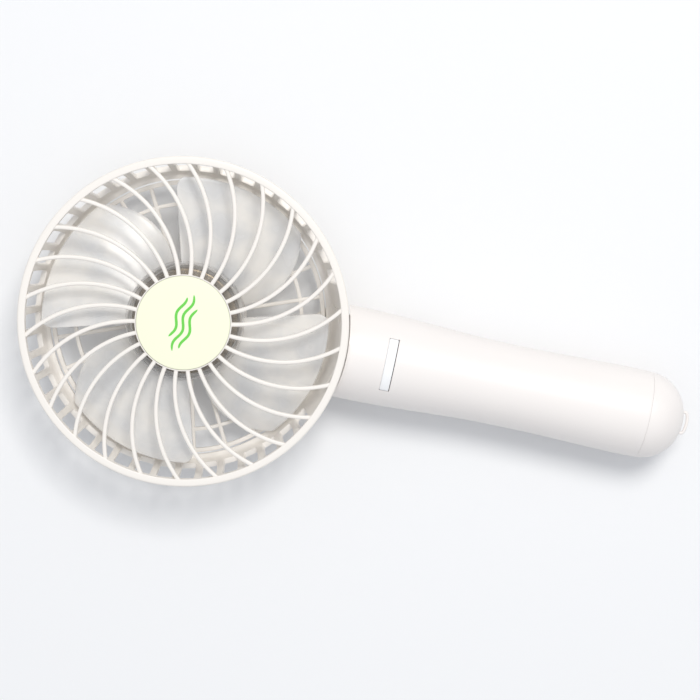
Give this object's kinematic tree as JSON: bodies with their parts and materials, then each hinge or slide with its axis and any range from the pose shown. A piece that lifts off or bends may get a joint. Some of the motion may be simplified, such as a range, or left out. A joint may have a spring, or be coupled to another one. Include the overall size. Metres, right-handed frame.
{
  "type": "handheld electric fan",
  "caption": "Battery handheld fan: round caged head with swept front ribs, milky impeller on a brushless motor, tube handle with power button and a pull-off end cap with lanyard loop.",
  "frame": {"origin": "centre of the flat motor cover at the back of the head, on the impeller axis", "axes": "+X along the handle to its cap, +Z out of the front grille, the way the air blows, +Y to the left when looking along the handle from the head with the front grille up"},
  "size_m": [0.2192, 0.105, 0.0325],
  "materials": {
    "shell_white": "satin moulded plastic, warm white",
    "button_white": "glossy moulded plastic, bright white",
    "badge_cream": null,
    "milky_plastic": "translucent milky plastic",
    "dark_plastic": "matt black moulding",
    "steel": "bright plated steel",
    "core_steel": "stacked electrical steel sheets",
    "copper": "enamelled copper wire",
    "brass": "turned brass",
    "magnet": "dark bonded magnet",
    "circuit_board": "green solder resist",
    "gasket": "soft grey rubber",
    "cell_sleeve": "plain shrink sleeve"
  },
  "bodies": {
    "housing": {"head_ring": "shell_white", "rear_grille": "shell_white", "motor_housing": "shell_white", "front_grille": "shell_white", "hub_badge": "badge_cream", "motor_cover": "shell_white", "cover_screw_1": "steel", "cover_screw_2": "steel", "driver_board": "circuit_board", "driver_chip": "dark_plastic", "front_bearing": "steel", "rear_bearing": "steel", "bearing_tube": "brass", "stator_core": "core_steel", "stator_winding": "copper", "motor_screw_1": "steel", "motor_screw_2": "steel", "motor_screw_3": "steel", "handle_front_shell": "shell_white", "handle_back_shell": "shell_white", "handle_screw_1": "steel", "handle_screw_2": "steel", "button_switch": "dark_plastic", "control_board": "circuit_board", "charge_socket": "steel", "charge_chip": "dark_plastic", "indicator_lens": "milky_plastic", "contact_carrier": "dark_plastic", "front_contact": "brass", "battery_tube": "dark_plastic"},
    "rotor": {"impeller": "milky_plastic", "rotor_cup": "steel", "magnet_ring": "magnet", "motor_shaft": "steel"},
    "button": {"power_button": "button_white"},
    "cell": {"battery_cell": "cell_sleeve"},
    "cap": {"end_cap": "shell_white", "cap_gasket": "gasket", "tail_contact": "brass", "tail_spring": "steel", "lanyard_loop": "shell_white"}
  },
  "joints": [
    {"name": "impeller_spin", "type": "hinge", "parent": "housing", "child": "rotor", "pos_m": [0, 0, 0.02], "axis": [0, 0, 1], "continuous": true},
    {"name": "button_press", "type": "slide", "parent": "housing", "child": "button", "axis": [0, 0, -1], "range_m": [0, 0.0008], "stiffness_N_per_m": 900, "springref_m": -0.0003},
    {"name": "cap_pull", "type": "slide", "parent": "housing", "child": "cap", "axis": [1, 0, 0], "range_m": [0, 0.095]},
    {"name": "cell_slide", "type": "slide", "parent": "housing", "child": "cell", "axis": [1, 0, 0], "range_m": [0, 0.076]}
  ],
  "couplings": [
    {"joint": "cell_slide", "follows": "cap_pull", "ratio": 0.8}
  ]
}
